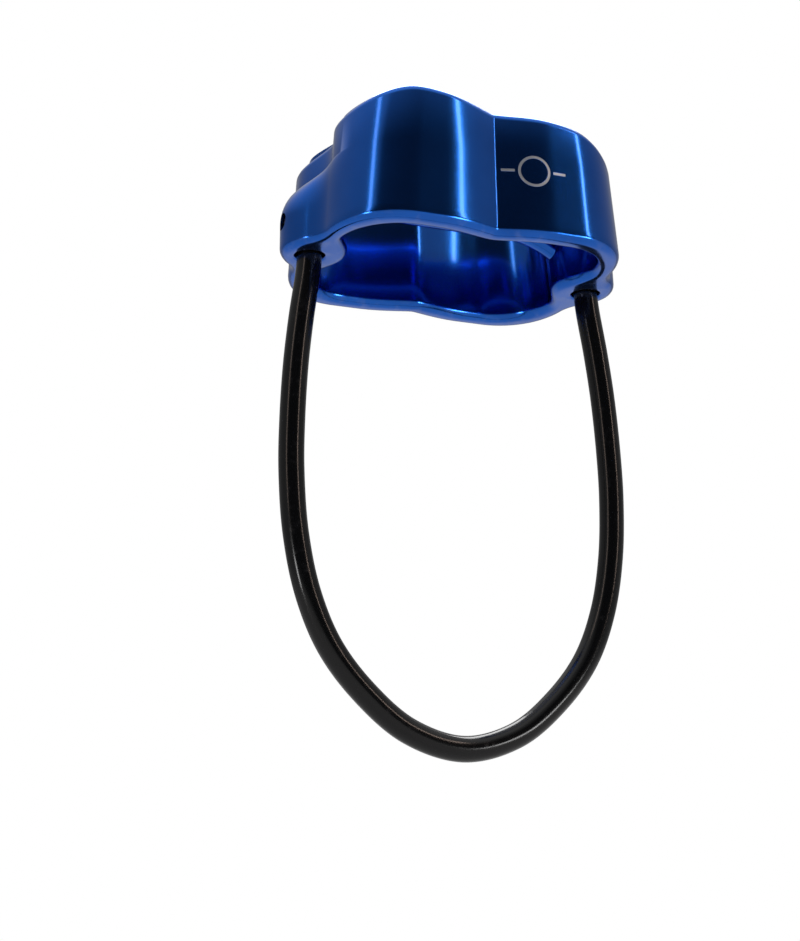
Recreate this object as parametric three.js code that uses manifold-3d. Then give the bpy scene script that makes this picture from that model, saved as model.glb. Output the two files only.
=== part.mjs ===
// Tube-style belay device: an anodised aluminium tube with two rope slots, and a keeper cable in a
// plastic sheath that hangs in a loop from an ear at each end. Millimetres, +Z up, X along the ears.
// The origin is the middle of the flat bottom rim, and the loop hangs below it.
import * as THREE from "three";
import { mergeVertices } from "three/addons/utils/BufferGeometryUtils.js";
import Module from "manifold-3d";

// Tube, at the bottom rim
const WALL_X = 21.6; // half length over the four corners
const VALLEY = 2.2; // depth of the valley down the middle of each end, above the ear
const LOBE_Y = 17.3; // half depth over the lobes
const CREASE_Y = 15.8; // half depth in the vertical crease between two lobes
const CORNER_R = 9.4; // outside radius of the four corners
const INNER_X = 19; // half length of the opening
const INNER_Y = 14.3; // half depth of the opening under the lobes
const INNER_CREASE_Y = 12.9; // half depth of the opening at the ridge inside the crease
const INNER_CORNER_R = 8;
const BOSS_BULGE = 2.7; // how far the opening's end bulges inwards round each cable socket
const BOSS_Y = 7.4; // half width of that bulge
const EDGE_R = 1.2; // rounding of the rims
const TAPER = 0.0039; // share of its length that the tube loses per millimetre of height
// Height of the arched top edge before its slant: highest over the lobes, lowest at the ends
const TOP_MIDDLE = 18.4;
const TOP_LOBE = 18.8;
const TOP_LOBE_X = 9.5;
const TOP_END = 15.2;
const TOP_SLANT = 0.1; // fall of the top edge per millimetre towards the right end

// Ears
const EAR_X = 20.4; // centre of the ear's round nose
const EAR_R = 5.2;
const EAR_BLEND_R = 4; // concave blend from ear to end wall
const EAR_TOP = 11.5;
const EAR_DOME = 7; // height over which the ear rounds over

// Web between the two rope slots
const WEB_THICK = 3;
const WEB_LOW = 3; // at the ends
const WEB_RISE = 4.2; // how much higher the web's lower edge is along its middle
const WEB_LEVEL_X = 9; // half length of that middle
const WEB_FALL_X = 10; // length over which the lower edge falls on each side of it
const WEB_STEPS = 24;
const WEB_HIGH = 15.6;
const WEB_BITE = 0.8; // how far the web runs past the bulges at the rim, into the walls

// Keeper cable and its fixings
const CABLE_X = 21.5; // half spacing of the two legs in the ears
const SHEATH_R = 1.75;
const SHEATH_BORE_R = 1.2;
const CABLE_R = 1;
const CABLE_INSET = 0.2; // from the tip of the sheath to the cable inside it
const CABLE_END = 6.4; // height at which the cable ends in its ferrule
const SOCKET_R = 2.1;
const SOCKET_DEPTH = 7.4;
const SOCKET_CHAMFER = 0.4;
const SHEATH_IN = 2.2; // length of sheath inside the socket
const FERRULE_R = 1.8;
const FERRULE_BORE_R = 1.3;
const FERRULE_WAIST_R = 1.45;
const FERRULE_LOW = 2.5;
const FERRULE_HIGH = 7;
const PIN_R = 1;
const PIN_HOLE_R = 1.25;
const PIN_Z = 4.6;
const PIN_RECESS = 0.5; // from the ear's nose to the pin's head
const SWING_Z = -2.2; // height of the line that the loop swings about, just below the ears

// Centre line of the loop below the bottom rim: half width at each depth, from the swing line down
const LOOP_SIDE = [
  [CABLE_X, -SWING_Z],
  [22.7, 9],
  [23.5, 16],
  [24, 24],
  [24.1, 31],
  [23.5, 39.5],
  [21.8, 47.5],
  [18.8, 54.4],
  [14.1, 60.2],
  [7.8, 65.1],
];
const LOOP_DROP = 67.3;
const LOOP_STATIONS = 56;

const RING_STEPS = { flank: 4, flat: 3, corner: 7, end: 2, blend: 6, ear: 8 };

const wasm = await Module();
wasm.setup();

function solidOf(geometry) {
  const bare = geometry.index ? geometry : geometry.clone();
  for (const key of Object.keys(bare.attributes)) {
    if (key !== "position") bare.deleteAttribute(key);
  }
  const merged = mergeVertices(bare, 1e-4);
  return new wasm.Manifold(
    new wasm.Mesh({
      numProp: 3,
      vertProperties: merged.attributes.position.array,
      triVerts: new Uint32Array(merged.index.array),
    }),
  );
}

function geometryOf(solid) {
  const mesh = solid.getMesh();
  const geometry = new THREE.BufferGeometry();
  geometry.setAttribute("position", new THREE.BufferAttribute(mesh.vertProperties, 3));
  geometry.setIndex(new THREE.BufferAttribute(mesh.triVerts, 1));
  const flat = geometry.toNonIndexed();
  flat.computeVertexNormals();
  return flat;
}

// Closed surface from a grid that wraps both ways: at(i, j) is the point of ring i and section point j.
function wrappedGrid(rings, points, at) {
  const position = [];
  const index = [];
  for (let i = 0; i < rings; i++) {
    for (let j = 0; j < points; j++) position.push(...at(i, j));
  }
  for (let i = 0; i < rings; i++) {
    for (let j = 0; j < points; j++) {
      const next = (i + 1) % rings;
      const up = (j + 1) % points;
      const [a, b, c, d] = [i * points + j, next * points + j, next * points + up, i * points + up];
      index.push(a, b, c, a, c, d);
    }
  }
  const geometry = new THREE.BufferGeometry();
  geometry.setAttribute("position", new THREE.BufferAttribute(new Float32Array(position), 3));
  geometry.setIndex(index);
  return geometry;
}

const lerp = (a, b, t) => a + (b - a) * t;

function steps(count, make) {
  return Array.from({ length: count }, (_, k) => make((k + 1) / count));
}

// A point near an end, moved inwards by a smooth dip of a given depth and half width about the middle.
function dipped([x, y], depth, width) {
  const share = Math.min(1, Math.abs(y) / width);
  return [x - (depth * (1 + Math.cos(Math.PI * share))) / 2, y];
}

const bulged = (point) => dipped(point, BOSS_BULGE, BOSS_Y);

// A quarter of the tube in plan, from the crease to the middle of the end wall: pairs of an outside
// point and an inside point, and for the ear the outside point of its round nose.
function quarterPlan() {
  const cx = WALL_X - CORNER_R;
  const cy = LOBE_Y - CORNER_R;
  const reach = Math.hypot(cx, CREASE_Y - cy);
  const slope = Math.asin(CORNER_R / reach) - Math.atan2(CREASE_Y - cy, cx);
  const touch = new THREE.Vector2(cx - CORNER_R * Math.sin(slope), cy + CORNER_R * Math.cos(slope));
  const innerX = INNER_X - INNER_CORNER_R;
  const innerY = INNER_Y - INNER_CORNER_R;

  // Where the concave blend meets the ear's circle and the end
  const blendY = Math.sqrt((EAR_R + EAR_BLEND_R) ** 2 - (WALL_X + EAR_BLEND_R - EAR_X) ** 2);
  const blendX = WALL_X + EAR_BLEND_R;
  const meet = Math.atan2(blendY, blendX - EAR_X);
  const earY = EAR_R * Math.sin(meet);
  const valley = (y) => dipped([WALL_X, y], VALLEY, cy);

  const plan = [{ out: [0, CREASE_Y], in: [0, INNER_CREASE_Y] }];
  const ridgeX = touch.x * 0.8;
  plan.push(
    ...steps(RING_STEPS.flank, (t) => ({
      out: [touch.x * t, lerp(CREASE_Y, touch.y, t)],
      in: [ridgeX * t, lerp(INNER_CREASE_Y, INNER_Y, Math.sin((t * Math.PI) / 2))],
    })),
    ...steps(RING_STEPS.corner + RING_STEPS.flat, (t) => {
      const turn = lerp(Math.PI / 2 + slope, 0, t);
      const flat = RING_STEPS.flat / (RING_STEPS.corner + RING_STEPS.flat);
      const bend = Math.max(0, (t - flat) / (1 - flat)) * (Math.PI / 2);
      return {
        out: [cx + CORNER_R * Math.cos(turn), cy + CORNER_R * Math.sin(turn)],
        in: t < flat
          ? [lerp(ridgeX, innerX, t / flat), INNER_Y]
          : bulged([innerX + INNER_CORNER_R * Math.sin(bend), innerY + INNER_CORNER_R * Math.cos(bend)]),
      };
    }),
    ...steps(RING_STEPS.end, (t) => ({
      out: valley(lerp(cy, blendY, t)),
      ear: [WALL_X, lerp(cy, blendY, t)],
      in: bulged([INNER_X, lerp(innerY, innerY * 0.8, t)]),
    })),
    ...steps(RING_STEPS.blend, (t) => {
      const turn = lerp(Math.PI, Math.PI + meet, t);
      return {
        out: valley(lerp(blendY, earY, t)),
        ear: [blendX + EAR_BLEND_R * Math.cos(turn), blendY + EAR_BLEND_R * Math.sin(turn)],
        in: bulged([INNER_X, innerY * lerp(0.8, 0.5, t)]),
      };
    }),
    ...steps(RING_STEPS.ear, (t) => {
      const turn = lerp(meet, 0, t);
      return {
        out: valley(lerp(earY, 0, t)),
        ear: [EAR_X + EAR_R * Math.cos(turn), EAR_R * Math.sin(turn)],
        in: bulged([INNER_X, innerY * lerp(0.5, 0, t)]),
      };
    }),
  );
  return plan;
}

// All four quarters as one ring, anticlockwise from the middle of the right end wall.
function fullPlan() {
  const quarter = quarterPlan();
  const mirror = (p, sx, sy) => ({
    out: [p.out[0] * sx, p.out[1] * sy],
    in: [p.in[0] * sx, p.in[1] * sy],
    ear: p.ear && [p.ear[0] * sx, p.ear[1] * sy],
  });
  const back = [...quarter].reverse();
  return [
    ...back.map((p) => mirror(p, 1, 1)),
    ...quarter.slice(1).map((p) => mirror(p, -1, 1)),
    ...back.slice(1).map((p) => mirror(p, -1, -1)),
    ...quarter.slice(1, -1).map((p) => mirror(p, 1, -1)),
  ];
}

function topEdge(x) {
  const away = Math.abs(x);
  const rise = (1 - Math.cos((Math.PI * Math.min(away, TOP_LOBE_X)) / TOP_LOBE_X)) / 2;
  const past = Math.max(0, away - TOP_LOBE_X) / (WALL_X - TOP_LOBE_X);
  return lerp(TOP_MIDDLE, TOP_LOBE, rise) - (TOP_LOBE - TOP_END) * past ** 2 - TOP_SLANT * x;
}

const taperAt = (z) => 1 - TAPER * z;

// How much of the ear is left at a height: all of it low down, rounding over to nothing at its top.
function earShare(z) {
  const t = (z - (EAR_TOP - EAR_DOME)) / EAR_DOME;
  if (t <= 0) return 1;
  return t >= 1 ? 0 : Math.sqrt(1 - t * t);
}

// The outside of the tube at one plan point and height, without the rounding of its rims.
function outside(p, z) {
  const x = p.out[0] * taperAt(z);
  if (!p.ear) return [x, p.out[1]];
  const share = earShare(z);
  return [lerp(x, p.ear[0], share), lerp(p.out[1], p.ear[1], share)];
}

const inside = (p, z) => [p.in[0] * taperAt(z), p.in[1]];

// The tube's wall as a ring of closed sections. Each section point has a height, and a place across
// the wall from 0 (inside) to 1 (outside) less the rounding of the rim.
function tubeWall() {
  const plan = fullPlan();
  const quarterTurn = [0, 0.5, 1].map((t) => (t * Math.PI) / 2);
  const domeRows = [0, 0.35, 0.6, 0.8, 0.93, 1].map((t) => EAR_TOP - EAR_DOME * (1 - t));
  const section = [];
  for (const a of quarterTurn) {
    section.push({ side: 1, inset: EDGE_R * (1 - Math.sin(a)), low: EDGE_R * (1 - Math.cos(a)) });
  }
  for (const z of domeRows) section.push({ side: 1, inset: 0, low: z });
  for (const a of quarterTurn) {
    section.push({ side: 1, inset: EDGE_R * (1 - Math.cos(a)), high: EDGE_R * (1 - Math.sin(a)) });
  }
  for (const a of [...quarterTurn].reverse()) {
    section.push({ side: 0, inset: EDGE_R * (1 - Math.cos(a)), high: EDGE_R * (1 - Math.sin(a)) });
  }
  for (const a of [...quarterTurn].reverse()) {
    section.push({ side: 0, inset: EDGE_R * (1 - Math.sin(a)), low: EDGE_R * (1 - Math.cos(a)) });
  }
  const at = (i, j) => {
    const p = plan[i];
    const s = section[j];
    const edge = s.side ? p.out : p.in;
    const z = s.low ?? topEdge(edge[0]) - s.high;
    const here = s.side ? outside(p, z) : inside(p, z);
    const across = s.side ? inside(p, z) : outside(p, z);
    const width = Math.hypot(across[0] - here[0], across[1] - here[1]);
    const t = s.inset / width;
    return [lerp(here[0], across[0], t), lerp(here[1], across[1], t), z];
  };
  return solidOf(wrappedGrid(plan.length, section.length, at));
}

// Upright web with round lower and upper edges, running into both ends. Its lower edge is an arch.
function web() {
  const r = WEB_THICK / 2;
  const half = INNER_X - BOSS_BULGE + WEB_BITE;
  const shape = new THREE.Shape();
  shape.absarc(0, WEB_HIGH - r, r, 0, Math.PI, false);
  shape.absarc(0, WEB_LOW + r, r, Math.PI, 2 * Math.PI, false);
  const settings = { depth: 2 * half, steps: WEB_STEPS, bevelEnabled: false, curveSegments: 8 };
  const geometry = new THREE.ExtrudeGeometry(shape, settings);
  // Extruded along Z with the section in XY: turn it so that the length is X and the section's Y is up
  geometry.applyMatrix4(new THREE.Matrix4().set(0, 0, 1, -half, 1, 0, 0, 0, 0, 1, 0, 0, 0, 0, 0, 1));
  const place = geometry.attributes.position;
  for (let i = 0; i < place.count; i++) {
    const x = place.getX(i);
    const z = place.getZ(i);
    const past = Math.max(0, Math.abs(x) - WEB_LEVEL_X) / WEB_FALL_X;
    place.setX(i, x * taperAt(z));
    if (z < WEB_HIGH / 2) place.setZ(i, z + WEB_RISE * (1 - past ** 2));
  }
  return solidOf(geometry);
}

// Solid of revolution about an upright axis at x, from a profile of [radius, height] points.
function turned(profile, x, segments = 24) {
  const geometry = new THREE.LatheGeometry(
    profile.map(([r, z]) => new THREE.Vector2(r, z)),
    segments,
  );
  geometry.rotateX(Math.PI / 2);
  geometry.translate(x, 0, 0);
  return solidOf(geometry);
}

function socket(side) {
  const profile = [
    [0, -1],
    [SOCKET_R + SOCKET_CHAMFER + 1, -1],
    [SOCKET_R, SOCKET_CHAMFER],
    [SOCKET_R, SOCKET_DEPTH],
    [0, SOCKET_DEPTH + 0.8],
  ];
  return turned(profile, side * CABLE_X);
}

// Round bar along X between two places on one side of the tube.
function crossBar(side, from, to, radius, segments) {
  const geometry = new THREE.CylinderGeometry(radius, radius, to - from, segments);
  geometry.rotateZ(Math.PI / 2);
  geometry.translate((side * (from + to)) / 2, 0, PIN_Z);
  return solidOf(geometry);
}

const NOSE_X = EAR_X + EAR_R;

function tubeBody() {
  let body = tubeWall().add(web());
  for (const side of [-1, 1]) {
    body = body.subtract(socket(side));
    body = body.subtract(crossBar(side, CABLE_X, NOSE_X + 2, PIN_HOLE_R, 20));
  }
  return geometryOf(body);
}

// A tube, or a rod where there is no bore, through frames that each hold a centre and a direction in
// the XZ plane and an outside radius.
function swept(frames, sides, boreR) {
  const ring = ({ centre, along }, radius) =>
    Array.from({ length: sides }, (_, k) => {
      const turn = (2 * Math.PI * k) / sides;
      const across = new THREE.Vector3(along.z, 0, -along.x);
      const point = centre.clone().addScaledVector(across, radius * Math.cos(turn));
      point.y += radius * Math.sin(turn);
      return point;
    });
  const skin = frames.map((frame) => ring(frame, frame.radius));
  if (boreR) skin.push(...frames.map((frame) => ring(frame, boreR)).reverse());
  const position = skin.flat().flatMap((v) => [v.x, v.y, v.z]);
  const index = [];
  const last = skin.length - 1;
  for (let i = 0; i < (boreR ? skin.length : last); i++) {
    for (let k = 0; k < sides; k++) {
      const i2 = (i + 1) % skin.length;
      const k2 = (k + 1) % sides;
      const [a, b, c, d] = [i * sides + k, i * sides + k2, i2 * sides + k2, i2 * sides + k];
      index.push(a, b, c, a, c, d);
    }
  }
  if (!boreR) {
    for (let k = 1; k < sides - 1; k++) {
      index.push(0, k + 1, k, last * sides, last * sides + k, last * sides + k + 1);
    }
  }
  const geometry = new THREE.BufferGeometry();
  geometry.setAttribute("position", new THREE.BufferAttribute(new Float32Array(position), 3));
  geometry.setIndex(index);
  return geometryOf(solidOf(geometry));
}

// The loop's centre line, from the left ear round to the right ear.
function loopCurve() {
  const left = LOOP_SIDE.map(([x, drop]) => new THREE.Vector3(-x, 0, -drop));
  const right = LOOP_SIDE.map(([x, drop]) => new THREE.Vector3(x, 0, -drop)).reverse();
  const points = [...left, new THREE.Vector3(0, 0, -LOOP_DROP), ...right];
  return new THREE.CatmullRomCurve3(points, false, "centripetal");
}

// Frames along the loop. Its two tips run on past the curve's ends by the distances in tip, each
// given with the radius there.
function loopFrames(radius, tip) {
  const curve = loopCurve();
  const end = (t, sign) => {
    const along = curve.getTangentAt(t);
    const centre = curve.getPointAt(t);
    return tip.map(([past, r]) => ({
      centre: centre.clone().addScaledVector(along, sign * past),
      along,
      radius: r,
    }));
  };
  const middle = Array.from({ length: LOOP_STATIONS }, (_, k) => {
    const t = k / (LOOP_STATIONS - 1);
    return { centre: curve.getPointAt(t), along: curve.getTangentAt(t), radius };
  });
  return [...end(0, -1), ...middle, ...end(1, 1).reverse()];
}

// The tips are parts of a ball about the line that the loop swings about.
const TIP = Math.sqrt(SHEATH_R ** 2 - SHEATH_BORE_R ** 2);

function loopSheath() {
  const tip = [1, 0.75, 0.4].map((share) => {
    const past = share * TIP;
    return [past, Math.sqrt(SHEATH_R ** 2 - past ** 2)];
  });
  return swept(loopFrames(SHEATH_R, tip), 16, SHEATH_BORE_R);
}

function loopCable() {
  return swept(loopFrames(CABLE_R, [[TIP - CABLE_INSET, CABLE_R]]), 8);
}

// An upright tube at one ear, from low to high.
function sleeve(side, low, high, radius, boreR) {
  return turned([[boreR, low], [radius, low], [radius, high], [boreR, high], [boreR, low]], side * CABLE_X);
}

function rod(side, low, high, radius) {
  return turned([[0, low], [radius, low], [radius, high], [0, high]], side * CABLE_X, 16);
}

// Swaged ferrule with a waist that the pin stands in.
function ferrule(side) {
  const soft = 0.3;
  const profile = [
    [FERRULE_BORE_R, FERRULE_LOW],
    [FERRULE_R - soft, FERRULE_LOW],
    [FERRULE_R, FERRULE_LOW + soft],
    [FERRULE_R, PIN_Z - PIN_R - soft],
    [FERRULE_WAIST_R, PIN_Z - PIN_R],
    [FERRULE_WAIST_R, PIN_Z + PIN_R],
    [FERRULE_R, PIN_Z + PIN_R + soft],
    [FERRULE_R, FERRULE_HIGH - soft],
    [FERRULE_R - soft, FERRULE_HIGH],
    [FERRULE_BORE_R, FERRULE_HIGH],
    [FERRULE_BORE_R, FERRULE_LOW],
  ];
  return turned(profile, side * CABLE_X);
}

function pin(side) {
  return crossBar(side, CABLE_X + FERRULE_R - 0.1, NOSE_X - PIN_RECESS, PIN_R, 16);
}

const material = {
  anodised: new THREE.MeshStandardMaterial({ color: 0x143c8c, roughness: 0.15, metalness: 1 }),
  sheath: new THREE.MeshStandardMaterial({ color: 0x0b0c10, roughness: 0.25, metalness: 0 }),
  steel: new THREE.MeshStandardMaterial({ color: 0xa8abb0, roughness: 0.35, metalness: 1 }),
  ferrule: new THREE.MeshStandardMaterial({ color: 0xb8babd, roughness: 0.4, metalness: 1 }),
  pin: new THREE.MeshStandardMaterial({ color: 0x17181b, roughness: 0.45, metalness: 0.8 }),
};

const device = new THREE.Group();

function add(name, geometry, finish) {
  const mesh = new THREE.Mesh(geometry, finish);
  mesh.name = name;
  device.add(mesh);
}

add("tube_body", tubeBody(), material.anodised);
add("loop_sheath", loopSheath(), material.sheath);
add("loop_cable", loopCable(), material.steel);
for (const [hand, side] of [["left", -1], ["right", 1]]) {
  add(`sheath_end_${hand}`, geometryOf(sleeve(side, 0, SHEATH_IN, SHEATH_R, SHEATH_BORE_R)), material.sheath);
  add(`cable_end_${hand}`, geometryOf(rod(side, 0, CABLE_END, CABLE_R)), material.steel);
  add(`ferrule_${hand}`, geometryOf(ferrule(side)), material.ferrule);
  add(`retaining_pin_${hand}`, geometryOf(pin(side)), material.pin);
}

export default device;
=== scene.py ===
"""Tube-style belay device: blue anodised tube, black plastic-sheathed wire loop, ferrules and pins.

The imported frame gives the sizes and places. Lengths below are millimetres unless a name says
otherwise, and a mesh is written in metres. X runs along the ears, +Z up, and the origin is the middle
of the tube's bottom rim.
"""
import math

import bpy
from mathutils import Matrix, Vector


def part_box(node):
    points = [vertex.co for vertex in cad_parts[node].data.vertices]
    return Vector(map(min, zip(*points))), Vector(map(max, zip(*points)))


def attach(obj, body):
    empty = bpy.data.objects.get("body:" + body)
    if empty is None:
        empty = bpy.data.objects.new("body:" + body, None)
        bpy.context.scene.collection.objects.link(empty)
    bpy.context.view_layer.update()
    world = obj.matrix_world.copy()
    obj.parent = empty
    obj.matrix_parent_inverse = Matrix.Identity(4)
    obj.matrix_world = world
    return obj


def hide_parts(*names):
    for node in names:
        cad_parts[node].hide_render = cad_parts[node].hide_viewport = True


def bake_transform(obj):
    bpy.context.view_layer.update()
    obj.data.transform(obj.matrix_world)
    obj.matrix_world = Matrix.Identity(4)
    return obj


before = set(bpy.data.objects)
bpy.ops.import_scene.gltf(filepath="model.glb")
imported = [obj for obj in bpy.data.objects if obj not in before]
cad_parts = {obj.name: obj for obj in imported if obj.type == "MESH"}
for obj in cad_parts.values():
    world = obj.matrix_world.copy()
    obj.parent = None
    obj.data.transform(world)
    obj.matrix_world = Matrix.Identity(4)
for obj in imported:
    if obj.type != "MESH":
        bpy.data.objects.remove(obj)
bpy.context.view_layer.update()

MM = 0.001

# ---------------------------------------------------------------- sizes taken from the frame
TUBE_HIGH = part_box("tube_body")[1]
FERRULE_LOW, FERRULE_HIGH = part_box("ferrule_right")
PIN_LOW, PIN_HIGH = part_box("retaining_pin_right")
SHEATH_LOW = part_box("loop_sheath")[0]
STUB_LOW, STUB_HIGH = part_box("sheath_end_right")

NOSE_X = TUBE_HIGH[0] / MM
LOBE_Y = TUBE_HIGH[1] / MM
CABLE_X = (FERRULE_LOW[0] + FERRULE_HIGH[0]) / 2 / MM
SHEATH_R = (STUB_HIGH[1] - STUB_LOW[1]) / 2 / MM
STUB_TOP = STUB_HIGH[2] / MM
PIN_Z = (PIN_LOW[2] + PIN_HIGH[2]) / 2 / MM
PIN_R = (PIN_HIGH[2] - PIN_LOW[2]) / 2 / MM
PIN_INNER = PIN_LOW[0] / MM
PIN_OUTER = PIN_HIGH[0] / MM
LOOP_DROP = -SHEATH_LOW[2] / MM - SHEATH_R

# ---------------------------------------------------------------- the tube's own shape
WALL_X = 21.6
VALLEY = 2.2  # depth of the valley down the middle of each end, above the ear
CREASE_DEPTH = 1.5
CREASE_Y = LOBE_Y - CREASE_DEPTH
CREASE_R = 0.32  # softness of the crease's bottom
CREASE_NEAR_X = 1.2  # the points lie close together from the crease to here
CREASE_CROWDING = 1.6  # how much closer they get towards the crease
FLANK_X = 8  # from the crease to where a lobe's front is flat
CORNER_R = 9.4
WALL_THICK = 3
INNER_X = 19
INNER_Y = LOBE_Y - WALL_THICK
INNER_CREASE_DEPTH = 1.4
INNER_CREASE_Y = INNER_Y - INNER_CREASE_DEPTH
INNER_CREASE_R = 1.2
INNER_CORNER_R = 8
INNER_LEVELS = (9.8, 6.3, 3.5)  # heights of the rows of points up the inside, from the top down
BOSS_BULGE = 2.7  # how far the inside swells towards the middle behind an ear
BOSS_Y = 7.4  # half width of that swelling
EDGE_R = 1.2  # round of the rim's edges
TAPER = 0.0039  # share of its length that the tube loses with each millimetre of height
TOP_MIDDLE = 18.4  # height of the top edge at the crease
TOP_LOBE = 18.8  # at the lobes
TOP_LOBE_X = 9.5
TOP_END = 15.2  # at the ends
TOP_SLANT = 0.1  # fall of the top edge for each millimetre to the right
EAR_R = 5.2
EAR_X = NOSE_X - EAR_R
EAR_BLEND_R = 4  # hollow between the ear and the wall
EAR_FILL = 0.3  # how much of the hollow between corner and ear is filled
EAR_TOP = 11.5
EAR_DOME = 7  # height of the ear's round top
WEB_THICK = 3
WEB_LOW = 3  # at the ends
WEB_RISE = 4.2  # how much higher the web's lower edge is along its middle
WEB_LEVEL_X = 9  # half length of that middle
WEB_FALL_X = 10  # length over which the lower edge falls on each side of it
WEB_HIGH = 15.6
WEB_BITE = 0.8  # how far its ends reach into the wall
SOCKET_R = 2.1
SOCKET_DEPTH = 7.4
SOCKET_TIP = 0.8  # height of the cone that the drill leaves
SOCKET_SOFT = 0.35  # round of the socket's mouth
PIN_GAP = 0.25
PIN_HOLE_R = PIN_R + PIN_GAP
CUT_PAST = 2  # how far a cutting tool reaches past the metal

# Centre line of one side of the loop: half width at each depth below the rim
LOOP_SIDE = [
    (CABLE_X, -STUB_TOP),
    (CABLE_X, -0.5),
    (21.7, 2.2),
    (22.7, 9),
    (23.5, 16),
    (24, 24),
    (24.1, 31),
    (23.5, 39.5),
    (21.8, 47.5),
    (18.8, 54.4),
    (14.1, 60.2),
    (7.8, 65.1),
]
SHEATH_WALL = 0.55
WIRE_R = 1.0
WIRE_LAY = 9  # length of one turn of the outer strands
WIRE_START = 6.2  # height of the wire's ends, inside the ferrules
OUTER_STRANDS = 6
PIN_BEVEL = 0.18
PIN_DOME = 0.12

# Steps that round shapes are made with
EDGE_STEPS = 6
PIN_SIDES = 48
SHEATH_SIDES = 48
SHEATH_STEPS = 16  # between two points of the loop's centre line
WIRE_STEPS = 40
STRAND_SIDES = 8

# ---------------------------------------------------------------- camera, lights, stage
# Metres and degrees here; only the lens and the sensor are in millimetres
CAMERA_AZIMUTH = -22.17
CAMERA_ELEVATION = -15.79
CAMERA_ROLL = -0.97
CAMERA_DISTANCE = 0.2456
CAMERA_AIM = (-0.00385, 0.01144, -0.02613)
CAMERA_LENS = 76.7
CAMERA_SENSOR = 36
CAMERA_CLIP = 0.005
FLOOR_Z = -0.15
FLOOR_HALF = 1.5
DIM_AZIMUTH = -6  # middle of the dim side of the room
DIM_START = 0.573  # cosine of the angle from that middle where the room begins to dim
DIM_FULL = 0.646  # and where it is fully dim
ROOM_LIGHT = 0.3
ROOM_DIM = 0.035
CEILING_START = 0.5  # sine of the height where the ceiling's light begins
CEILING_FULL = 0.85
CEILING_LIGHT = 0.6
BACKDROP_LIGHT = 1.0

WHITE = (1, 1, 1)
WARM = (1, 0.78, 0.66)
# Name, azimuth and elevation in degrees, distance and (width, height) in metres, watts, tone
LAMPS = [
    ("left_strip", -62, 24, 0.8, (0.07, 0.5), 0.4, WARM),
    ("right_strip", 38, 24, 0.8, (0.05, 0.5), 0.75, WARM),
    ("left_spot", -64, -14, 0.8, (0.12, 0.3), 1.6, WHITE),
    ("right_spot", 34, -14, 0.8, (0.2, 0.3), 2.4, WHITE),
    ("top_softbox", 150, 62, 0.9, (0.6, 0.4), 5, WHITE),
]


# ================================================================ small helpers
def lerp(a, b, t):
    return a + (b - a) * t


def quarter_turns(steps):
    """Angles from 0 to a quarter turn, both included."""
    return [k / steps * math.pi / 2 for k in range(steps + 1)]


def direction(azimuth, elevation):
    """Unit vector towards a place in the room, given in degrees; azimuth 0 is in front."""
    a, e = math.radians(azimuth), math.radians(elevation)
    return Vector((math.sin(a) * math.cos(e), -math.cos(a) * math.cos(e), math.sin(e)))


def link(obj):
    """Puts a new object into the scene."""
    bpy.context.scene.collection.objects.link(obj)
    return obj


def mesh_piece(name, points, faces):
    """A mesh object from points in millimetres, with its faces turned outwards."""
    mesh = bpy.data.meshes.new(name)
    mesh.from_pydata([Vector(p) * MM for p in points], [], faces)
    if signed_volume(mesh) < 0:
        mesh.flip_normals()
    return link(bpy.data.objects.new(name, mesh))


def signed_volume(mesh):
    """Six times the mesh's volume, below zero where its faces point inwards."""
    mesh.calc_loop_triangles()
    total = 0.0
    for triangle in mesh.loop_triangles:
        a, b, c = (mesh.vertices[i].co for i in triangle.vertices)
        total += a.dot(b.cross(c))
    return total


def wrapped_faces(rings, count, close_rings=True):
    """Quads of a grid whose rings of count points each wrap round."""
    faces = []
    for i in range(rings if close_rings else rings - 1):
        after = (i + 1) % rings
        for j in range(count):
            up = (j + 1) % count
            faces.append((i * count + j, after * count + j, after * count + up, i * count + up))
    return faces


def smooth(piece, crease_degrees=35):
    """Smooth shading, apart from edges sharper than the given angle."""
    mesh = piece.data
    mesh.polygons.foreach_set("use_smooth", [True] * len(mesh.polygons))
    mesh.set_sharp_from_angle(angle=math.radians(crease_degrees))
    return piece


def finished(piece, material):
    """The piece in one material."""
    piece.data.materials.clear()
    piece.data.materials.append(material)
    return piece


def evaluated(piece):
    """The piece as a plain mesh, with its modifiers applied and removed."""
    view = bpy.context.evaluated_depsgraph_get()
    mesh = bpy.data.meshes.new_from_object(piece.evaluated_get(view))
    piece.modifiers.clear()
    old = piece.data
    piece.data = mesh
    bpy.data.meshes.remove(old)
    return piece


def combined(base, tool, operation):
    """Base joined with, or cut by, a tool that is used up."""
    cut = base.modifiers.new("join", "BOOLEAN")
    cut.operation = operation
    cut.solver = "EXACT"
    cut.object = tool
    evaluated(base)
    spare = tool.data
    bpy.data.objects.remove(tool)
    bpy.data.meshes.remove(spare)
    return base


def turned(name, profile, centre, axis="Z", sides=64):
    """A closed solid of revolution from (radius, height) points that start and end on the axis."""
    points = [(0, 0, profile[0][1])]
    inner = profile[1:-1]
    for radius, height in inner:
        for k in range(sides):
            turn = 2 * math.pi * k / sides
            points.append((radius * math.cos(turn), radius * math.sin(turn), height))
    points.append((0, 0, profile[-1][1]))
    faces = []
    for i in range(len(inner) - 1):
        for k in range(sides):
            a = 1 + i * sides + k
            b = 1 + i * sides + (k + 1) % sides
            faces.append((a, b, b + sides, a + sides))
    last = 1 + (len(inner) - 1) * sides
    for k in range(sides):
        after = (k + 1) % sides
        faces.append((0, 1 + after, 1 + k))
        faces.append((len(points) - 1, last + k, last + after))
    if axis == "X":
        points = [(z, x, y) for x, y, z in points]
    points = [tuple(p[i] + centre[i] for i in range(3)) for p in points]
    return mesh_piece(name, points, faces)


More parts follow.
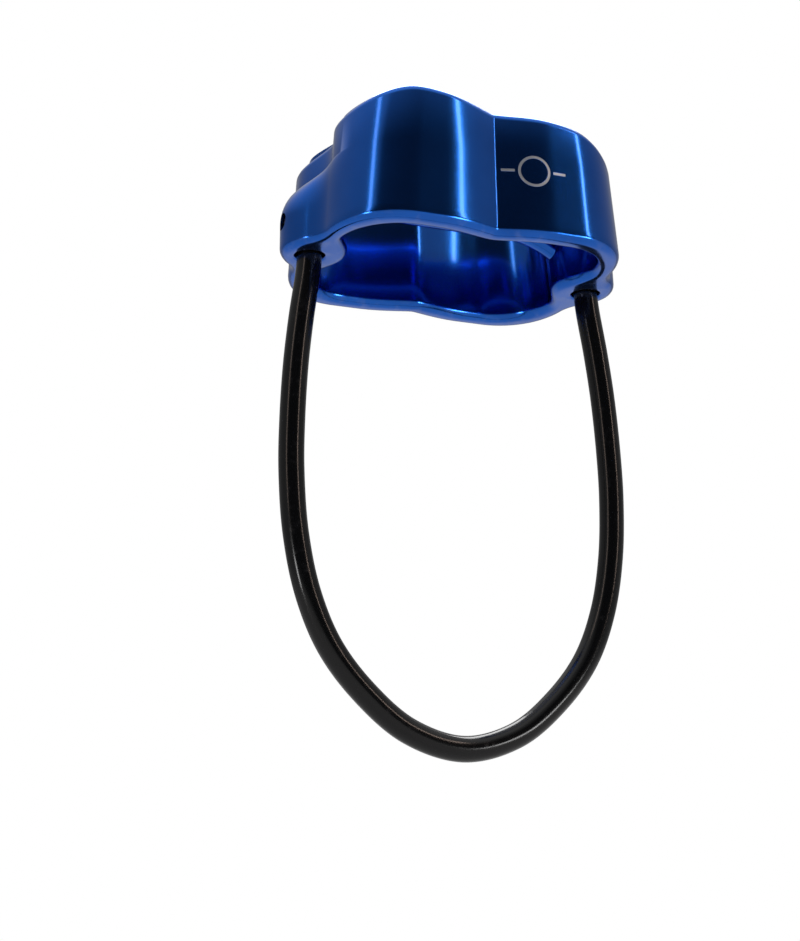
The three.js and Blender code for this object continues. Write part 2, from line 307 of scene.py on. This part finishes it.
# ================================================================ shader helpers
class Wire:
    """A socket's value in a shader, on which Python's arithmetic adds Math nodes."""

    def __init__(self, shader, socket):
        self.shader = shader
        self.socket = socket

    def math(self, operation, other=None, swap=False, clamp=False):
        values = {0: self}
        if other is not None:
            values = {0: other, 1: self} if swap else {0: self, 1: other}
        settings = {"operation": operation, "use_clamp": clamp}
        return self.shader.node("ShaderNodeMath", values, settings)

    def __add__(self, other):
        return self.math("ADD", other)

    def __radd__(self, other):
        return self.math("ADD", other, swap=True)

    def __sub__(self, other):
        return self.math("SUBTRACT", other)

    def __rsub__(self, other):
        return self.math("SUBTRACT", other, swap=True)

    def __mul__(self, other):
        return self.math("MULTIPLY", other)

    def __rmul__(self, other):
        return self.math("MULTIPLY", other, swap=True)

    def __truediv__(self, other):
        return self.math("DIVIDE", other)

    def __pow__(self, other):
        return self.math("POWER", other)

    def __abs__(self):
        return self.math("ABSOLUTE")

    def clamped(self):
        return self.math("ADD", 0.0, clamp=True)

    def least(self, other):
        return self.math("MINIMUM", other)

    def most(self, other):
        return self.math("MAXIMUM", other)


class Shader:
    """A material's node tree, with one method that adds any node."""

    def __init__(self, name, **constants):
        self.material = bpy.data.materials.new(name)
        self.material.use_nodes = True
        self.tree = self.material.node_tree
        self.surface = self.tree.nodes["Principled BSDF"]
        for key, value in constants.items():
            self.surface.inputs[key.replace("_", " ")].default_value = value
        place = self.node("ShaderNodeTexCoord", {}, output="Object")
        self.mm = self.node("ShaderNodeMapping", {"Vector": place, "Scale": (1 / MM,) * 3})

    def node(self, kind, values, settings=None, output=0):
        """Adds a node: its settings first, then the values or links of its sockets."""
        made = self.tree.nodes.new(kind)
        for key, value in (settings or {}).items():
            if key == "stops":
                self.set_stops(made.color_ramp, value)
            else:
                setattr(made, key, value)
        for key, value in values.items():
            self.plug(value, made.inputs[key])
        return Wire(self, made.outputs[output])

    def plug(self, value, socket):
        if isinstance(value, Wire):
            self.tree.links.new(value.socket, socket)
        else:
            socket.default_value = value

    def set_stops(self, ramp, stops):
        while len(ramp.elements) < len(stops):
            ramp.elements.new(0.5)
        for element, (position, shade) in zip(ramp.elements, stops):
            element.position = position
            element.color = (shade, shade, shade, 1)

    def axis(self, name):
        return self.node("ShaderNodeSeparateXYZ", {"Vector": self.mm}, output=name)

    def noise(self, scale, detail=3, stretch=(1, 1, 1)):
        """Smooth noise of about 1/scale millimetres, stretched along an axis where it is under 1."""
        place = self.node("ShaderNodeMapping", {"Vector": self.mm, "Scale": stretch})
        return self.node("ShaderNodeTexNoise", {"Vector": place, "Scale": scale, "Detail": detail})

    def ramp(self, value, stops):
        """Grey from a value, through (position, shade) stops."""
        return self.node("ShaderNodeValToRGB", {"Fac": value}, {"stops": stops})

    def blend(self, share, first, second):
        """Colour first turning to colour second with share."""
        values = {0: share, 6: first, 7: second}
        return self.node("ShaderNodeMix", values, {"data_type": "RGBA"}, output=2)

    def bump(self, height, depth_mm, strength=1.0, under=None):
        """Normal of a relief of the given depth, laid over another one."""
        values = {"Height": height, "Distance": depth_mm * MM, "Strength": strength}
        if under is not None:
            values["Normal"] = under
        return self.node("ShaderNodeBump", values)

    def set(self, **values):
        """Plugs the surface's sockets and gives the material."""
        for key, value in values.items():
            self.plug(value, self.surface.inputs[key.replace("_", " ")])
        return self.material


# ================================================================ materials
BLUE = (0.012, 0.125, 0.58, 1)
BLUE_DEEP = (0.009, 0.1, 0.48, 1)
BARE_ALLOY = (0.5, 0.52, 0.56, 1)
STEEL = (0.6, 0.6, 0.6, 1)
STEEL_DULL = (0.35, 0.36, 0.38, 1)
BLACKED = (0.03, 0.03, 0.034, 1)
BLACKED_DEEP = (0.012, 0.012, 0.014, 1)
SWAGED = (0.7, 0.71, 0.73, 1)
SWAGED_DULL = (0.5, 0.51, 0.53, 1)
FLOOR_PALE = (0.66, 0.66, 0.66, 1)
FLOOR_SHADED = (0.6, 0.6, 0.61, 1)
PLASTIC_BLACK = (0.0022, 0.0024, 0.003, 1)
PLASTIC_SCUFFED = (0.009, 0.009, 0.011, 1)
MARK_X = 5.2
MARK_Z = 9.6
MARK_RING_R = 2.1
MARK_LINE = 0.42  # width of its lines
MARK_GAP = 0.6  # from the ring to where a bar begins
MARK_REACH = 4.6  # from its middle to a bar's end
MARK_FACE_Y = CREASE_Y - 1  # the mark is only on metal further forward than this
MARK_SOFT = 0.05
MARK_DEPTH = 0.03
RIM_WEAR = 0.12  # most bare metal that shows through on the rim


def etched_mark(shader):
    """Share of bare etched metal: a plain ring with a short bar on each side, on the front right lobe."""
    across = shader.axis("X") - MARK_X
    above = shader.axis("Z") - MARK_Z
    ring = (MARK_LINE / 2 - abs((across * across + above * above) ** 0.5 - MARK_RING_R)) / MARK_SOFT
    bar = (MARK_LINE / 2 - abs(above)) / MARK_SOFT
    bar = bar.least((MARK_REACH - abs(across)) / MARK_SOFT)
    bar = bar.least((abs(across) - MARK_RING_R - MARK_GAP) / MARK_SOFT)
    front = -1.0 * shader.axis("Y") - MARK_FACE_Y
    return ring.most(bar).clamped() * (front / MARK_SOFT).clamped()


def anodised():
    """Dyed and polished aluminium: cloudy dye, fine grain, upright draw lines and a rubbed rim."""
    shader = Shader("blue_anodised", Metallic=1.0, Coat_Roughness=0.06, Coat_IOR=1.6)
    cloud = shader.noise(0.12, 2)
    grain = shader.noise(5.5, 4)
    drawn = shader.noise(1.6, 4, (6, 6, 0.12))
    rubbed = shader.ramp(shader.noise(0.55, 5), [(0.52, 0), (0.74, 1)])
    rim = ((EDGE_R - shader.axis("Z")) / EDGE_R).clamped()
    mark = etched_mark(shader)
    dye = shader.blend(shader.ramp(cloud, [(0.3, 0), (0.7, 1)]), BLUE, BLUE_DEEP)
    worn = shader.blend(rim * rubbed * RIM_WEAR, dye, BARE_ALLOY)
    rough = 0.12 + 0.05 * grain + 0.04 * drawn + 0.10 * rim * rubbed
    fine = shader.bump(grain, 0.004, 0.35)
    lines = shader.bump(drawn, 0.003, 0.25, under=fine)
    return shader.set(
        Base_Color=shader.blend(mark, worn, BARE_ALLOY),
        Roughness=rough + mark * 0.28,
        Coat_Weight=0.22 - 0.22 * mark,
        Normal=shader.bump(1.0 - mark, MARK_DEPTH, 0.5, under=lines),
    )


def black_plastic():
    """Glossy extruded plastic, with faint lines along it and dull scuffs."""
    shader = Shader("black_sheath_plastic", IOR=1.36, Coat_Roughness=0.08)
    drawn = shader.noise(1.2, 4, (1, 1, 0.15))
    scuffs = shader.ramp(shader.noise(0.9, 6), [(0.58, 0), (0.78, 1)])
    grain = shader.noise(7, 3)
    tint = shader.blend(scuffs * 0.5, PLASTIC_BLACK, PLASTIC_SCUFFED)
    ripple = shader.bump(drawn, 0.02, 0.35)
    return shader.set(
        Base_Color=tint,
        Roughness=0.14 + 0.06 * drawn + 0.14 * scuffs,
        Coat_Weight=0.12 - 0.06 * scuffs,
        Normal=shader.bump(grain, 0.004, 0.3, under=ripple),
    )


def metal(name, light, dark, rough, depth):
    """A plain metal whose colour and roughness vary a little, with a fine tooled grain."""
    shader = Shader(name, Metallic=1.0)
    cloud = shader.ramp(shader.noise(0.8, 4), [(0.35, 0), (0.7, 1)])
    grain = shader.noise(6, 4, (1, 1, 0.3))
    return shader.set(
        Base_Color=shader.blend(cloud, light, dark),
        Roughness=rough + 0.1 * grain + 0.08 * cloud,
        Normal=shader.bump(grain, depth, 0.4),
    )


def pale_floor():
    """Matt pale grey, a little uneven."""
    shader = Shader("pale_floor", Roughness=0.75)
    cloud = shader.noise(0.004, 3)
    return shader.set(Base_Color=shader.blend(cloud, FLOOR_PALE, FLOOR_SHADED))


# ================================================================ the tube
def dipped(x, y, depth, width):
    """A point near an end, moved inwards by a smooth dip about the middle."""
    share = min(1, abs(y) / width)
    return (x - depth * (1 + math.cos(math.pi * share)) / 2, y)


def bulged(x, y):
    """A point inside the tube, moved inwards where the metal is thicker behind an ear."""
    return dipped(x, y, BOSS_BULGE, BOSS_Y)


def flank_y(x, crease, lobe, soft):
    """Half depth of the wall at a place along it, from the crease to the flat of a lobe."""
    away = math.sqrt(x * x + soft * soft) - soft
    share = min(1, away / FLANK_X)
    return lerp(crease, lobe, math.sin(share * math.pi / 2))


def ear_bridge():
    """The line that touches a corner and the ear's nose: its normal, offset, and y at both touches."""
    corner_x, corner_y = WALL_X - CORNER_R, LOBE_Y - CORNER_R
    reach = math.hypot(EAR_X - corner_x, corner_y)
    turn = math.atan2(-corner_y, EAR_X - corner_x) + math.acos((CORNER_R - EAR_R) / reach)
    out_x, out_y = math.cos(turn), math.sin(turn)
    offset = out_x * corner_x + out_y * corner_y + CORNER_R
    return out_x, out_y, offset, EAR_R * out_y, corner_y + CORNER_R * out_y


def bridged(x, y):
    """A point of the hollow between ear and corner, moved part of the way to the bridging line."""
    out_x, out_y, offset, low, high = ear_bridge()
    if not low < y < high:
        return (x, y)
    push = EAR_FILL * (offset - out_x * x - out_y * y)
    return (x + push * out_x, y + push * out_y)


def quarter_plan():
    """A quarter of the tube in plan, from the crease to the middle of the end: (wall, ear, inside).

    The ear is the wall again away from the ear.
    """
    corner_x = WALL_X - CORNER_R
    corner_y = LOBE_Y - CORNER_R
    inner_corner_x = INNER_X - INNER_CORNER_R
    inner_corner_y = INNER_Y - INNER_CORNER_R
    blend_x = WALL_X + EAR_BLEND_R
    blend_y = math.sqrt((EAR_R + EAR_BLEND_R) ** 2 - (blend_x - EAR_X) ** 2)
    meet = math.atan2(blend_y, blend_x - EAR_X)
    rows = []

    def add(wall, inside, ear=None):
        rows.append((wall, bridged(*(ear or wall)), inside))

    near = 12
    for k in range(near):
        x = CREASE_NEAR_X * (k / near) ** CREASE_CROWDING
        add(
            (x, flank_y(x, CREASE_Y, LOBE_Y, CREASE_R)),
            (x, flank_y(x, INNER_CREASE_Y, INNER_Y, INNER_CREASE_R)),
        )
    flank = 22
    for k in range(flank):
        t = k / flank
        outer = lerp(CREASE_NEAR_X, corner_x, t)
        inner = lerp(CREASE_NEAR_X, inner_corner_x, t)
        add(
            (outer, flank_y(outer, CREASE_Y, LOBE_Y, CREASE_R)),
            (inner, flank_y(inner, INNER_CREASE_Y, INNER_Y, INNER_CREASE_R)),
        )
    corner = 34
    for k in range(corner):
        turn = math.pi / 2 * (1 - k / corner)
        across, up = math.cos(turn), math.sin(turn)
        add(
            (corner_x + CORNER_R * across, corner_y + CORNER_R * up),
            bulged(
                inner_corner_x + INNER_CORNER_R * across,
                inner_corner_y + INNER_CORNER_R * up,
            ),
        )
    flat, blended, nose = 4, 14, 16
    total = flat + blended + nose
    ear_y = EAR_R * math.sin(meet)
    for k in range(total + 1):
        inside = bulged(INNER_X, inner_corner_y * (1 - k / total))
        if k < flat:
            y = lerp(corner_y, blend_y, k / flat)
            ear = (WALL_X, y)
        elif k < flat + blended:
            t = (k - flat) / blended
            y = lerp(blend_y, ear_y, t)
            turn = math.pi + meet * t
            ear = (blend_x + EAR_BLEND_R * math.cos(turn), blend_y + EAR_BLEND_R * math.sin(turn))
        else:
            t = (k - flat - blended) / nose
            y = ear_y * (1 - t)
            turn = meet * (1 - t)
            ear = (EAR_X + EAR_R * math.cos(turn), EAR_R * math.sin(turn))
        add(dipped(WALL_X, y, VALLEY, corner_y), inside, ear)
    return rows


def full_plan():
    """The whole plan as one ring, anticlockwise from the middle of the right end."""
    quarter = quarter_plan()
    back = quarter[::-1]

    def mirrored(rows, sx, sy):
        return [tuple((x * sx, y * sy) for x, y in row) for row in rows]

    return (
        mirrored(back, 1, 1)
        + mirrored(quarter[1:], -1, 1)
        + mirrored(back[1:], -1, -1)
        + mirrored(quarter[1:-1], 1, -1)
    )


def top_edge(x):
    """Height of the top edge: two low humps over the lobes, falling to the ends."""
    away = abs(x)
    rise = (1 - math.cos(math.pi * min(away, TOP_LOBE_X) / TOP_LOBE_X)) / 2
    past = max(0, away - TOP_LOBE_X) / (WALL_X - TOP_LOBE_X)
    return lerp(TOP_MIDDLE, TOP_LOBE, rise) - (TOP_LOBE - TOP_END) * past ** 2 - TOP_SLANT * x


def ear_share(z):
    """How far the ear stands out at a height, from 1 below its dome to 0 at its top."""
    t = (z - (EAR_TOP - EAR_DOME)) / EAR_DOME
    if t <= 0:
        return 1
    return math.sqrt(1 - t * t) if t < 1 else 0


def outside_at(plan, z):
    """The outline at a height; the wall leans in with the taper, and the ear's nose stays upright."""
    share = ear_share(z)
    taper = 1 - TAPER * z
    edge = ear_bridge()[-1]
    ring = []
    for wall, ear, _ in plan:
        upright = share * max(0, 1 - abs(ear[1]) / edge)
        x = lerp(wall[0], ear[0], share) * lerp(taper, 1, upright)
        ring.append((x, lerp(wall[1], ear[1], share)))
    return ring


def inside_at(plan, z):
    """The inside's outline at a height."""
    return [(inside[0] * (1 - TAPER * z), inside[1]) for _, _, inside in plan]


def plan_normal(ring, i):
    """Unit normal of an anticlockwise ring at one point, pointing out of it."""
    ax, ay = ring[i - 1]
    bx, by = ring[(i + 1) % len(ring)]
    size = math.hypot(bx - ax, by - ay)
    return (by - ay) / size, (ax - bx) / size


def tube_section():
    """The wall's section, from the bottom rim up the outside and back down the inside.

    A row is (1 outside or 0 inside, inset, height, depth below the top edge), and one of the last
    two is None.
    """
    fillet = quarter_turns(EDGE_STEPS)
    rows = []
    for turn in fillet:
        rows.append((1, EDGE_R * (1 - math.sin(turn)), EDGE_R * (1 - math.cos(turn)), None))
    dome_steps = 26
    for turn in quarter_turns(dome_steps)[1:]:
        rows.append((1, 0, EDGE_R + (EAR_TOP - EDGE_R) * math.sin(turn), None))
    for turn in fillet:
        rows.append((1, EDGE_R * (1 - math.cos(turn)), None, EDGE_R * (1 - math.sin(turn))))
    for turn in fillet[::-1]:
        rows.append((0, EDGE_R * (1 - math.cos(turn)), None, EDGE_R * (1 - math.sin(turn))))
    for z in INNER_LEVELS:
        rows.append((0, 0, z, None))
    for turn in fillet[::-1]:
        rows.append((0, EDGE_R * (1 - math.sin(turn)), EDGE_R * (1 - math.cos(turn)), None))
    return rows


def tube_wall():
    """The whole wall as one closed surface, swept round the plan."""
    plan = full_plan()
    columns = []
    for side, inset, low, from_top in tube_section():
        column = []
        level = None
        if from_top is None:
            level = outside_at(plan, low) if side else inside_at(plan, low)
        edge = [wall if side else inside for wall, _, inside in plan]
        inwards = -inset if side else inset
        for i, (rim_x, rim_y) in enumerate(edge):
            if from_top is None:
                z = low
                x, y = level[i]
                out_x, out_y = plan_normal(level, i)
            else:
                z = top_edge(rim_x) - from_top
                x, y = rim_x * (1 - TAPER * z), rim_y
                out_x, out_y = plan_normal(edge, i)
            column.append((x + inwards * out_x, y + inwards * out_y, z))
        columns.append(column)
    points = [p for column in columns for p in column]
    return mesh_piece("tube", points, wrapped_faces(len(columns), len(plan)))


def web():
    """Upright bar with round edges between the two rope slots; its lower edge is an arch."""
    r = WEB_THICK / 2
    half_steps = 16
    section = []
    for start, middle_z in ((0, WEB_HIGH - r), (math.pi, WEB_LOW + r)):
        for k in range(half_steps + 1):
            turn = start + math.pi * k / half_steps
            section.append((r * math.cos(turn), middle_z + r * math.sin(turn)))
    half = INNER_X - BOSS_BULGE + WEB_BITE
    count = len(section)
    stations = 48
    points = []
    for i in range(stations + 1):
        x = half * (2 * i / stations - 1)
        past = max(0, abs(x) - WEB_LEVEL_X) / WEB_FALL_X
        for y, z in section:
            lift = WEB_RISE * (1 - past**2) if z < WEB_HIGH / 2 else 0
            points.append((x * (1 - TAPER * z), y, z + lift))
    faces = wrapped_faces(stations + 1, count, close_rings=False)
    faces.append(tuple(range(count)))
    faces.append(tuple(range(stations * count, (stations + 1) * count))[::-1])
    return mesh_piece("web", points, faces)


def socket(side):
    """Cutting tool for a cable socket, with a soft mouth and a conical bottom."""
    mouth = []
    for turn in quarter_turns(EDGE_STEPS):
        radius = SOCKET_R + SOCKET_SOFT * (1 - math.sin(turn))
        mouth.append((radius, SOCKET_SOFT * (1 - math.cos(turn))))
    profile = [
        (0, -CUT_PAST),
        (SOCKET_R + SOCKET_SOFT, -CUT_PAST),
        *mouth,
        (SOCKET_R, SOCKET_DEPTH),
        (0, SOCKET_DEPTH + SOCKET_TIP),
    ]
    return turned("socket", profile, (side * CABLE_X, 0, 0))


def pin_hole(side):
    """Cutting tool for a pin's hole, from the ear's nose to the cable's centre line."""
    low, high = sorted((side * CABLE_X, side * (NOSE_X + CUT_PAST)))
    profile = [(0, low), (PIN_HOLE_R, low), (PIN_HOLE_R, high), (0, high)]
    return turned("pin_hole", profile, (0, 0, PIN_Z), "X", PIN_SIDES)


def tube(material):
    """The aluminium body: wall and web in one piece, with its cable sockets and pin holes."""
    piece = combined(tube_wall(), web(), "UNION")
    for side in (-1, 1):
        piece = combined(piece, socket(side), "DIFFERENCE")
        piece = combined(piece, pin_hole(side), "DIFFERENCE")
    finished(smooth(piece), material)
    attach(piece, "tube")
    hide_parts("tube_body")


# ================================================================ the keeper loop
def loop_points():
    """Centre line of the loop as (x, z), from the left socket round to the right one."""
    left = [(-x, -drop) for x, drop in LOOP_SIDE]
    right = [(x, -drop) for x, drop in LOOP_SIDE[::-1]]
    return left + [(0, -LOOP_DROP)] + right


def centripetal(points, steps):
    """Smooth curve through points in the XZ plane, as a list of (x, z)."""
    first = tuple(2 * a - b for a, b in zip(points[0], points[1]))
    last = tuple(2 * a - b for a, b in zip(points[-1], points[-2]))
    chain = [first, *points, last]
    curve = []
    for a, b, c, d in zip(chain, chain[1:], chain[2:], chain[3:]):
        ab, bc, cd = (max(math.dist(p, q) ** 0.5, 1e-6) for p, q in ((a, b), (b, c), (c, d)))
        for k in range(steps):
            t = k / steps
            spot = []
            for i in range(2):
                m1 = c[i] - b[i] + bc * ((b[i] - a[i]) / ab - (c[i] - a[i]) / (ab + bc))
                m2 = c[i] - b[i] + bc * ((d[i] - c[i]) / cd - (d[i] - b[i]) / (bc + cd))
                spot.append(
                    (2 * t**3 - 3 * t**2 + 1) * b[i]
                    + (t**3 - 2 * t**2 + t) * m1
                    + (3 * t**2 - 2 * t**3) * c[i]
                    + (t**3 - t**2) * m2
                )
            curve.append(tuple(spot))
    curve.append(points[-1])
    return curve


def curve_frames(curve):
    """(x, z, tangent x, tangent z) at every point of a curve."""
    frames = []
    for i, (x, z) in enumerate(curve):
        ax, az = curve[max(i - 1, 0)]
        bx, bz = curve[min(i + 1, len(curve) - 1)]
        size = math.hypot(bx - ax, bz - az)
        frames.append((x, z, (bx - ax) / size, (bz - az) / size))
    return frames


def ring_round(place, radius, sides, slide=0.0):
    """Circle of points square to the curve at a place, moved along it by slide."""
    x, z, tx, tz = place
    x += slide * tx
    z += slide * tz
    ring = []
    for k in range(sides):
        turn = 2 * math.pi * k / sides
        across = radius * math.cos(turn)
        ring.append((x + across * tz, radius * math.sin(turn), z - across * tx))
    return ring


def sheath(material):
    """The plastic sheath: one tube from socket to socket, with round lips at its two ends."""
    frames = curve_frames(centripetal(loop_points(), SHEATH_STEPS))
    bore = SHEATH_R - SHEATH_WALL
    middle_r = (SHEATH_R + bore) / 2
    lip = SHEATH_WALL / 2
    turns = [k / EDGE_STEPS * math.pi for k in range(1, EDGE_STEPS)]

    def lip_ring(place, turn, end):
        radius = middle_r + end * lip * math.cos(turn)
        return ring_round(place, radius, SHEATH_SIDES, end * lip * math.sin(turn))

    rings = [ring_round(place, SHEATH_R, SHEATH_SIDES) for place in frames]
    rings += [lip_ring(frames[-1], turn, 1) for turn in turns]
    rings += [ring_round(place, bore, SHEATH_SIDES) for place in frames[::-1]]
    rings += [lip_ring(frames[0], turn, -1) for turn in turns]
    points = [p for ring in rings for p in ring]
    piece = mesh_piece("keeper_sheath", points, wrapped_faces(len(rings), SHEATH_SIDES))
    finished(smooth(piece, crease_degrees=60), material)
    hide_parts("loop_sheath", "sheath_end_left", "sheath_end_right")
    hang(piece)


def hang(piece):
    """Bakes the placement of a piece of the loop into its mesh."""
    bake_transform(piece)


def strand_tree(material):
    """Node tree that turns guide lines into round strands."""
    tree = bpy.data.node_groups.new("round_strands", "GeometryNodeTree")
    tree.interface.new_socket("Guides", in_out="INPUT", socket_type="NodeSocketGeometry")
    radius = tree.interface.new_socket("Strand radius", in_out="INPUT", socket_type="NodeSocketFloat")
    sides = tree.interface.new_socket("Sides", in_out="INPUT", socket_type="NodeSocketInt")
    tree.interface.new_socket("Strands", in_out="OUTPUT", socket_type="NodeSocketGeometry")

    def add(kind, **values):
        made = tree.nodes.new(kind)
        for key, value in values.items():
            socket = made.inputs[key.replace("_", " ")]
            if isinstance(value, bpy.types.NodeSocket):
                tree.links.new(value, socket)
            else:
                socket.default_value = value
        return made

    given = add("NodeGroupInput").outputs
    line = add("GeometryNodeMeshToCurve", Mesh=given["Guides"])
    section = add(
        "GeometryNodeCurvePrimitiveCircle",
        Resolution=given["Sides"],
        Radius=given["Strand radius"],
    )
    swept = add(
        "GeometryNodeCurveToMesh",
        Curve=line.outputs["Curve"],
        Profile_Curve=section.outputs["Curve"],
        Fill_Caps=True,
    )
    soft = add("GeometryNodeSetShadeSmooth", Geometry=swept.outputs["Mesh"])
    real = add("GeometryNodeRealizeInstances", Geometry=soft.outputs["Geometry"])
    steel = add("GeometryNodeSetMaterial", Geometry=real.outputs["Geometry"], Material=material)
    tree.links.new(steel.outputs["Geometry"], add("NodeGroupOutput").inputs["Strands"])
    return tree, radius.identifier, sides.identifier


def wire_rope(material):
    """The wire inside the sheath: six strands laid round a straight one."""
    route = [(-CABLE_X, WIRE_START), *loop_points()[1:-1], (CABLE_X, WIRE_START)]
    frames = curve_frames(centripetal(route, WIRE_STEPS))
    strand_r = WIRE_R / 3  # three strands lie side by side across the wire
    guides = []
    edges = []
    for strand in range(OUTER_STRANDS + 1):
        start = len(guides)
        run = 0.0
        for i, (x, z, tx, tz) in enumerate(frames):
            if i:
                run += math.dist((x, z), frames[i - 1][:2])
            out = 0 if strand == OUTER_STRANDS else 2 * strand_r
            turn = 2 * math.pi * (run / WIRE_LAY + strand / OUTER_STRANDS)
            across = out * math.cos(turn)
            guides.append(Vector((x + across * tz, out * math.sin(turn), z - across * tx)) * MM)
        edges += [(i, i + 1) for i in range(start, len(guides) - 1)]
    mesh = bpy.data.meshes.new("keeper_wire")
    mesh.from_pydata(guides, edges, [])
    piece = link(bpy.data.objects.new("keeper_wire", mesh))
    tree, radius, sides = strand_tree(material)
    grown = piece.modifiers.new("strands", "NODES")
    grown.node_group = tree
    grown[radius] = strand_r * MM
    grown[sides] = STRAND_SIDES
    evaluated(piece)
    if signed_volume(piece.data) < 0:
        piece.data.flip_normals()
    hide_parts("loop_cable", "cable_end_left", "cable_end_right")
    hang(piece)


# ================================================================ the pins
def retaining_pin(hand, side, material):
    """Pin through the ear into the ferrule, with a slightly domed head inside the hole."""
    length = PIN_OUTER - PIN_INNER
    shoulder = length - PIN_DOME
    flat_r = PIN_R - PIN_BEVEL
    profile = [(0, 0), (flat_r, 0), (PIN_R, PIN_BEVEL), (PIN_R, shoulder - PIN_BEVEL)]
    for turn in quarter_turns(EDGE_STEPS)[:-1]:
        radius = PIN_R - PIN_BEVEL * (1 - math.cos(turn))
        profile.append((radius, shoulder - PIN_BEVEL * (1 - math.sin(turn))))
    for k in range(1, EDGE_STEPS):
        share = k / EDGE_STEPS
        profile.append((flat_r * (1 - share), length - PIN_DOME * (1 - share) ** 2))
    profile.append((0, length))
    profile = [(radius, side * (PIN_INNER + along)) for radius, along in profile]
    piece = turned(f"pin_{hand}", profile, (0, 0, PIN_Z), "X", PIN_SIDES)
    finished(smooth(piece, crease_degrees=50), material)
    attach(piece, "tube")
    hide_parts(f"retaining_pin_{hand}")


# ================================================================ camera, lights and stage
def add_camera():
    azimuth, roll = math.radians(CAMERA_AZIMUTH), math.radians(CAMERA_ROLL)
    back = direction(CAMERA_AZIMUTH, CAMERA_ELEVATION)
    level = Vector((math.cos(azimuth), math.sin(azimuth), 0))
    upright = back.cross(level)
    right = level * math.cos(roll) + upright * math.sin(roll)
    up = back.cross(right)
    data = bpy.data.cameras.new("camera")
    data.sensor_width = CAMERA_SENSOR
    data.sensor_fit = "HORIZONTAL"
    data.lens = CAMERA_LENS
    data.clip_start = CAMERA_CLIP
    camera = link(bpy.data.objects.new("camera", data))
    turn = Matrix((right, up, back)).transposed().to_4x4()
    camera.matrix_world = Matrix.Translation(Vector(CAMERA_AIM) + back * CAMERA_DISTANCE) @ turn
    bpy.context.scene.camera = camera


def add_lamp(name, azimuth, elevation, distance, size, power, tone):
    """A rectangular lamp that faces the object and that the camera doesn't see."""
    data = bpy.data.lights.new(name, "AREA")
    data.shape = "RECTANGLE"
    data.size, data.size_y = size
    data.energy = power
    data.color = tone
    lamp = link(bpy.data.objects.new(name, data))
    away = direction(azimuth, elevation)
    lamp.location = away * distance
    lamp.rotation_euler = away.to_track_quat("Z", "Y").to_euler()
    lamp.visible_camera = False


def add_world():
    """A pale room that is dim in front of the object, so that its polished faces turn deep blue there."""
    world = bpy.data.worlds.new("studio")
    world.use_nodes = True
    bpy.context.scene.world = world
    nodes, links = world.node_tree.nodes, world.node_tree.links
    shade = nodes["Background"]
    place = nodes.new("ShaderNodeTexCoord")
    facing = nodes.new("ShaderNodeVectorMath")
    facing.operation = "DOT_PRODUCT"
    facing.inputs[1].default_value = direction(DIM_AZIMUTH, 0)
    links.new(place.outputs["Generated"], facing.inputs[0])
    front = nodes.new("ShaderNodeMapRange")
    front.inputs["From Min"].default_value = DIM_START
    front.inputs["From Max"].default_value = DIM_FULL
    front.inputs["To Min"].default_value = ROOM_LIGHT
    front.inputs["To Max"].default_value = ROOM_DIM
    links.new(facing.outputs["Value"], front.inputs["Value"])
    split = nodes.new("ShaderNodeSeparateXYZ")
    links.new(place.outputs["Generated"], split.inputs[0])
    ceiling = nodes.new("ShaderNodeMapRange")
    ceiling.inputs["From Min"].default_value = CEILING_START
    ceiling.inputs["From Max"].default_value = CEILING_FULL
    ceiling.inputs["To Max"].default_value = CEILING_LIGHT
    links.new(split.outputs["Z"], ceiling.inputs["Value"])
    total = nodes.new("ShaderNodeMath")
    links.new(front.outputs[0], total.inputs[0])
    links.new(ceiling.outputs[0], total.inputs[1])
    seen = nodes.new("ShaderNodeLightPath")
    choose = nodes.new("ShaderNodeMix")
    share, room, backdrop = choose.inputs[0], choose.inputs[2], choose.inputs[3]
    backdrop.default_value = BACKDROP_LIGHT
    links.new(seen.outputs["Is Camera Ray"], share)
    links.new(total.outputs[0], room)
    links.new(choose.outputs[0], shade.inputs["Color"])


def add_stage():
    near, far = -FLOOR_HALF, FLOOR_HALF
    corners = [(x, y, FLOOR_Z) for x, y in ((near, near), (far, near), (far, far), (near, far))]
    mesh = bpy.data.meshes.new("floor")
    mesh.from_pydata(corners, [], [(0, 1, 2, 3)])
    floor = finished(link(bpy.data.objects.new("floor", mesh)), pale_floor())
    add_world()
    for lamp in LAMPS:
        add_lamp(*lamp)
    bpy.context.scene.view_settings.view_transform = "Standard"


# ================================================================ build
add_camera()
add_stage()
tube(anodised())
sheath(black_plastic())
wire_rope(metal("wire_rope_steel", STEEL, STEEL_DULL, rough=0.25, depth=0.01))
pin_black = metal("blackened_pin_steel", BLACKED, BLACKED_DEEP, rough=0.3, depth=0.01)
swaged = metal("swaged_alloy", SWAGED, SWAGED_DULL, rough=0.3, depth=0.015)
for hand, side in (("left", -1), ("right", 1)):
    retaining_pin(hand, side, pin_black)
    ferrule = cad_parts[f"ferrule_{hand}"]
    for slot in ferrule.material_slots:
        slot.material = swaged
